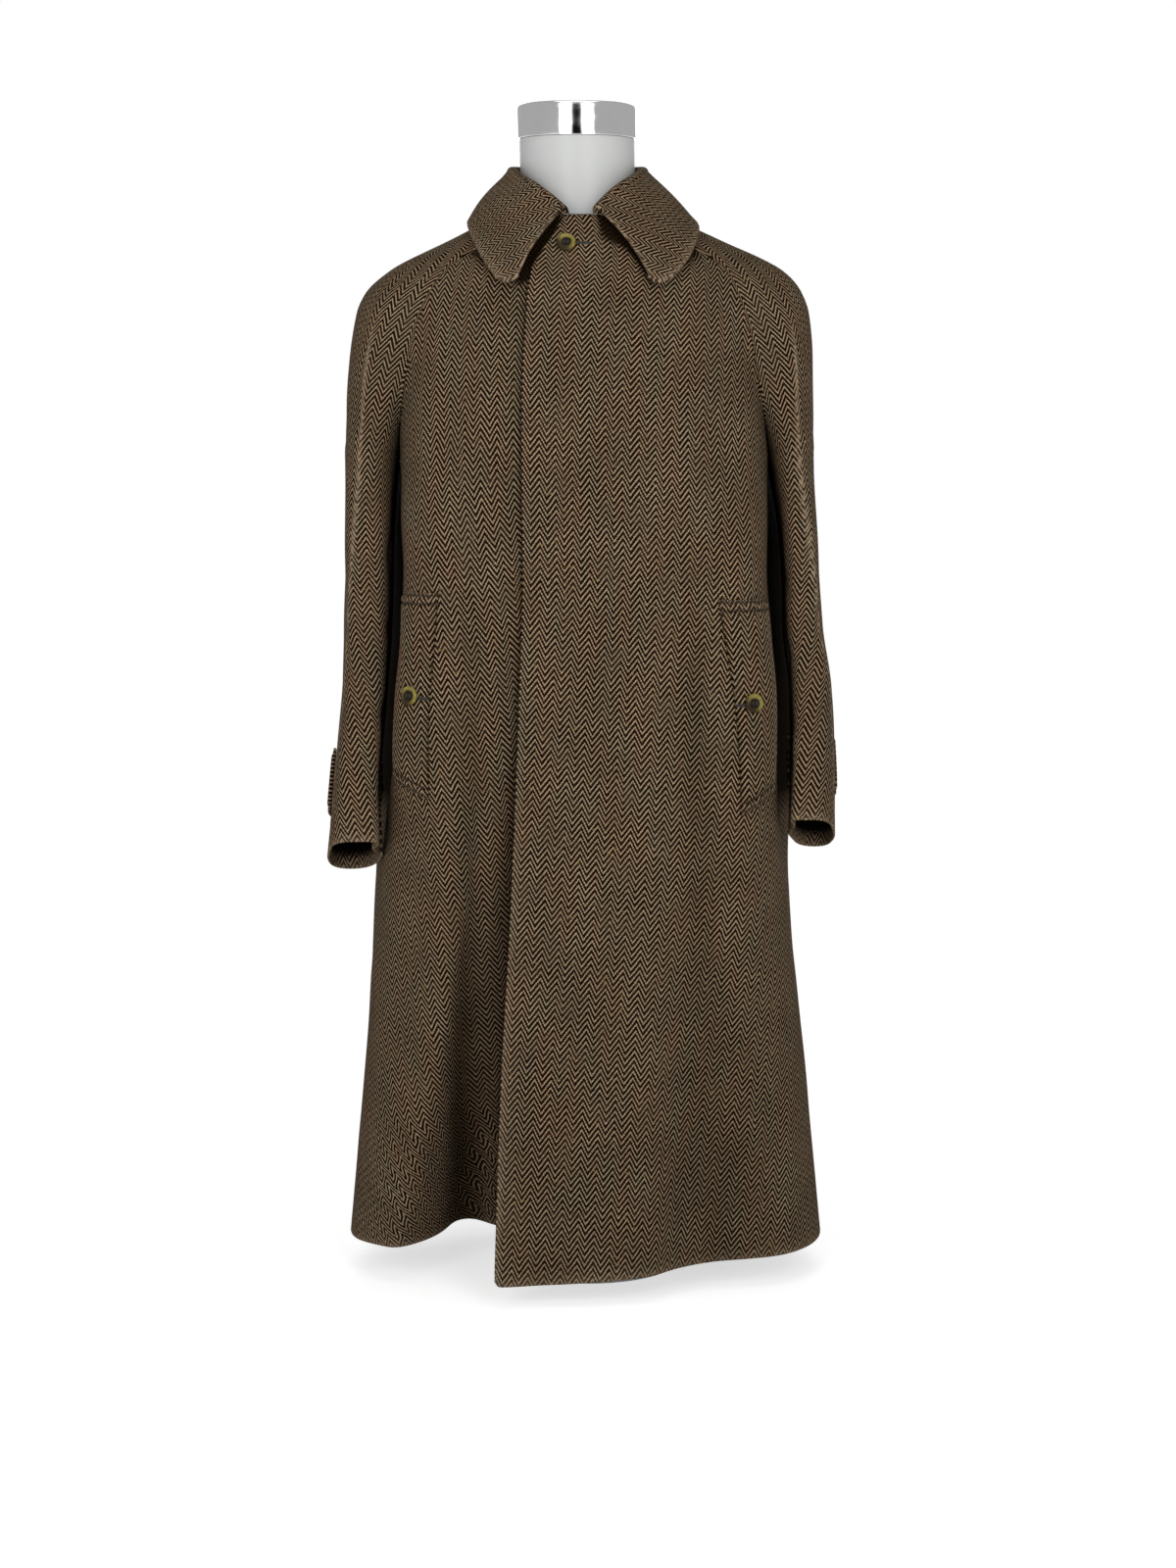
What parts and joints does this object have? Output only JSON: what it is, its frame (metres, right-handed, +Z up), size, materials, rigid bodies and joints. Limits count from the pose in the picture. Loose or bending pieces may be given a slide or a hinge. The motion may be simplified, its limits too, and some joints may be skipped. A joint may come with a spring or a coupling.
{
  "type": "tweed overcoat on a dress form",
  "caption": "Raglan herringbone tweed overcoat with fly front, turn-down collar, pocket welts and cuff straps, resting on a limbless dress form with a round base.",
  "frame": {"origin": "on the floor under the neck, within the foot of the form's round base", "axes": "+Z up, the coat's front faces -Y, +X is towards the wearer's left"},
  "size_m": [0.5456, 0.367, 1.247],
  "materials": {
    "tweed": "hairy herringbone weave",
    "horn": "polished horn",
    "white_gloss": "smooth gloss",
    "chrome": "mirror"
  },
  "bodies": {
    "root": {"front_left": "tweed", "front_right": "tweed", "back_left": "tweed", "back_right": "tweed", "sleeve_left_front": "tweed", "sleeve_left_back": "tweed", "sleeve_right_front": "tweed", "sleeve_right_back": "tweed", "collar": "tweed", "pocket_welt_left": "tweed", "pocket_welt_right": "tweed", "cuff_strap_left": "tweed", "cuff_strap_right": "tweed", "collar_button": "horn", "pocket_button_left": "horn", "pocket_button_right": "horn", "strap_button_left": "horn", "strap_button_right": "horn", "form_torso": "white_gloss", "form_neck_cap": "chrome", "form_pole": "white_gloss", "form_base": "white_gloss"}
  },
  "joints": []
}
